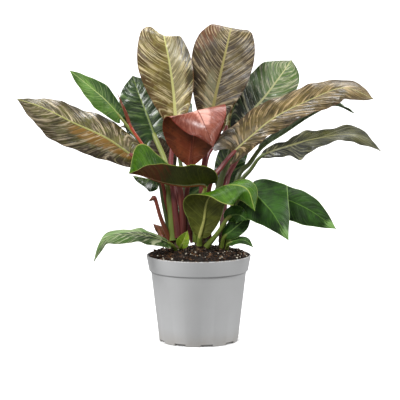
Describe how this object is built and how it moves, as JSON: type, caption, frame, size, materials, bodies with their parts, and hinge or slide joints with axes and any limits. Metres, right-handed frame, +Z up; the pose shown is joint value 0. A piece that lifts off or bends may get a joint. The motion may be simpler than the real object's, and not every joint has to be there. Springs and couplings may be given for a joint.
{
  "type": "potted imperial red philodendron",
  "caption": "Broad-leaved bronze, red and green aroid house plant rising from short crowns in potting mix, in a grey plastic nursery pot with a stepped rim.",
  "frame": {"origin": "middle of the pot's underside, on the surface it stands on", "axes": "+Z up, +X to the right of the plant seen from its front, -Y towards its front"},
  "size_m": [0.5808, 0.2875, 0.5123],
  "materials": {
    "pot": "satin grey nursery plastic",
    "soil": "crumbly dark potting mix",
    "crown": "brown ringed stem",
    "bronze_leaf": "glossy bronze-olive leaf",
    "dark_bronze_leaf": "glossy dark bronze leaf",
    "green_leaf": "glossy green leaf",
    "bright_leaf": "glossy fresh green leaf",
    "dark_leaf": "glossy dark green leaf",
    "new_red_leaf": "glossy salmon-red new leaf",
    "lime_leaf": "soft lime-green young leaf",
    "dry_leaf": "dry brown leaf",
    "red_stalk": "smooth maroon leaf stalk",
    "green_stalk": "smooth yellow-green leaf stalk",
    "olive_stalk": "smooth olive leaf stalk",
    "dry_stalk": "faded red cut stalk"
  },
  "bodies": {
    "root": {"pot": "pot", "soil": "soil", "crown_left": "crown", "crown_middle": "crown", "crown_right": "crown", "crown_back": "crown", "blade_tall_left": "bronze_leaf", "stalk_tall_left": "red_stalk", "blade_tall_right": "dark_bronze_leaf", "stalk_tall_right": "red_stalk", "blade_new_red": "new_red_leaf", "stalk_new_red": "red_stalk", "blade_far_left": "bronze_leaf", "stalk_far_left": "red_stalk", "blade_upper_left": "green_leaf", "stalk_upper_left": "green_stalk", "blade_behind_left": "dark_leaf", "stalk_behind_left": "olive_stalk", "blade_upper_right": "green_leaf", "stalk_upper_right": "green_stalk", "blade_far_right": "bronze_leaf", "stalk_far_right": "red_stalk", "blade_edge_right": "dark_leaf", "stalk_edge_right": "olive_stalk", "blade_low_far_right": "dark_leaf", "stalk_low_far_right": "olive_stalk", "blade_low_right": "green_leaf", "stalk_low_right": "green_stalk", "blade_front_right": "green_leaf", "stalk_front_right": "green_stalk", "leaf_front_bright": "bright_leaf", "blade_front_left": "bright_leaf", "stalk_front_left": "green_stalk", "blade_under_left": "dark_leaf", "stalk_under_left": "olive_stalk", "leaf_low_left": "green_leaf", "leaf_lime": "lime_leaf", "leaf_low_small": "green_leaf", "blade_shaded_right": "green_leaf", "stalk_shaded_right": "green_stalk", "leaf_middle_right": "green_leaf", "blade_spear": "new_red_leaf", "stalk_spear": "red_stalk", "blade_dry_stub": "dry_leaf", "stalk_dry_stub": "dry_stalk", "leaf_old_sheath": "dry_leaf", "blade_back_tall_left": "dark_leaf", "stalk_back_tall_left": "olive_stalk", "blade_back_tall_right": "bronze_leaf", "stalk_back_tall_right": "red_stalk", "blade_back_middle": "dark_leaf", "stalk_back_middle": "olive_stalk", "blade_back_low": "dark_leaf", "stalk_back_low": "olive_stalk", "blade_back_left": "dark_bronze_leaf", "stalk_back_left": "red_stalk", "blade_back_right": "bronze_leaf", "stalk_back_right": "red_stalk"}
  },
  "joints": []
}
